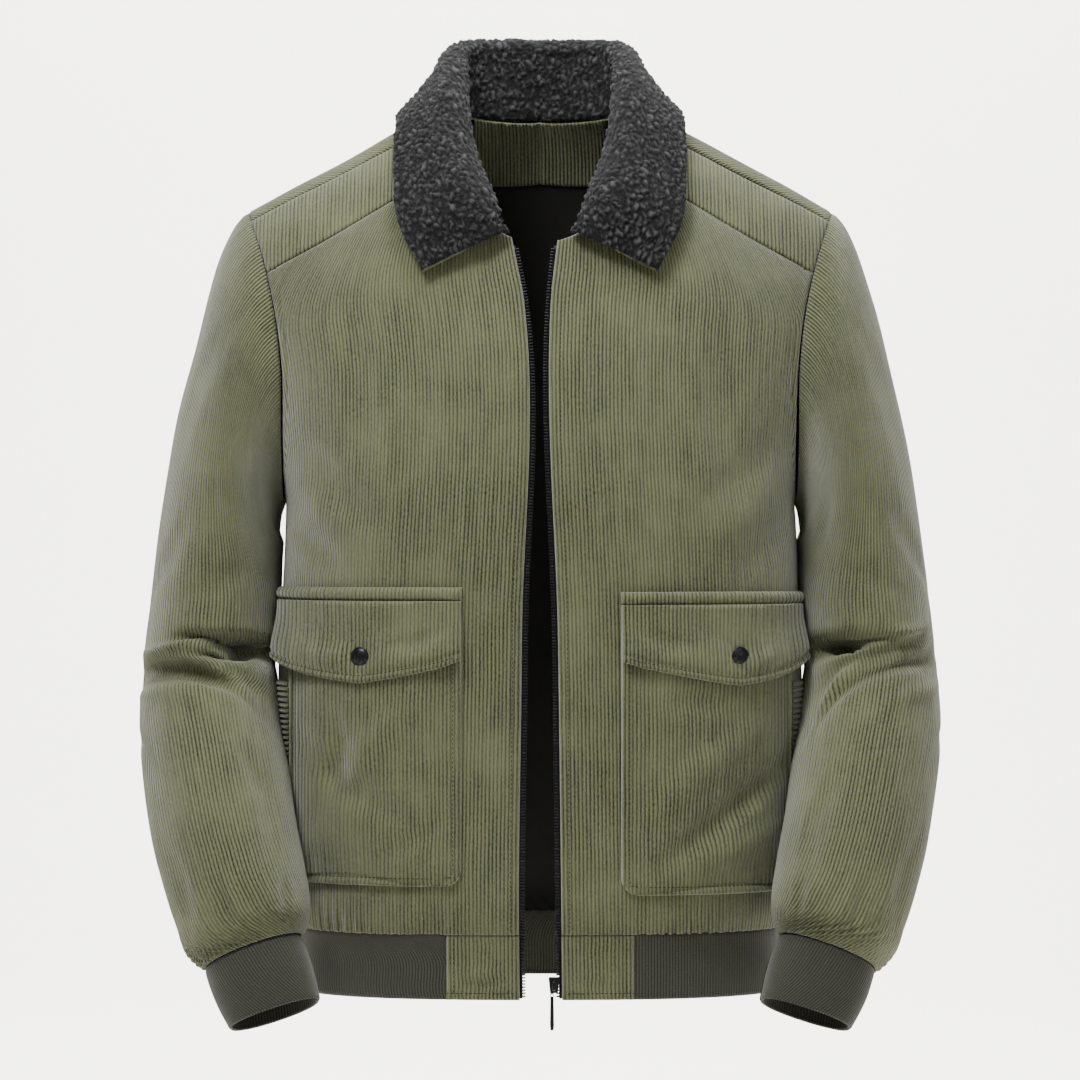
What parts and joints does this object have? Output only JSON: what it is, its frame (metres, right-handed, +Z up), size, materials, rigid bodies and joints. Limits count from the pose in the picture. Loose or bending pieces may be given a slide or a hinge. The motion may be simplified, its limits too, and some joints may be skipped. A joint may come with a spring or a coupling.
{
  "type": "corduroy zip jacket",
  "caption": "Corduroy zip jacket filled out as worn, with a curly fleece collar, flap pockets, ribbed hem and cuffs, hollow and open at neck, hem, front and cuffs.",
  "frame": {"origin": "middle of the neck, level with the high points of the shoulders", "axes": "+X to the wearer's left, +Y to the back, +Z up; the front faces -Y"},
  "size_m": [0.6322, 0.2771, 0.7872],
  "materials": {
    "corduroy": "ribbed cotton pile",
    "rib_knit": "rib knit",
    "fleece": "curly pile",
    "zip_tape": "woven tape",
    "zip_metal": "black coated",
    "snap_metal": "black coated"
  },
  "bodies": {
    "jacket": {"front_left": "corduroy", "front_right": "corduroy", "yoke_left": "corduroy", "yoke_right": "corduroy", "back": "corduroy", "sleeve_left": "corduroy", "sleeve_right": "corduroy", "cuff_left": "rib_knit", "cuff_right": "rib_knit", "hem_band": "rib_knit", "hem_tab_left": "corduroy", "hem_tab_right": "corduroy", "collar": "fleece", "under_collar": "corduroy", "neck_facing": "corduroy", "pocket_patch_left": "corduroy", "pocket_patch_right": "corduroy", "pocket_flap_left": "corduroy", "pocket_flap_right": "corduroy", "pocket_welt_left": "corduroy", "pocket_welt_right": "corduroy", "pocket_trim_left": "rib_knit", "pocket_trim_right": "rib_knit", "pocket_snap_left": "snap_metal", "pocket_snap_right": "snap_metal", "zip_tape_left": "zip_tape", "zip_tape_right": "zip_tape", "zip_chain_left": "zip_metal", "zip_chain_right": "zip_metal", "zip_slider": "zip_metal"},
    "pull_tab": {"zip_pull_tab": "zip_metal"}
  },
  "joints": [
    {"name": "pull_tab_hinge", "type": "hinge", "parent": "jacket", "child": "pull_tab", "pos_m": [0.0093, -0.11431, -0.6945], "axis": [-1, 0, 0], "range_deg": [0, 140]}
  ]
}
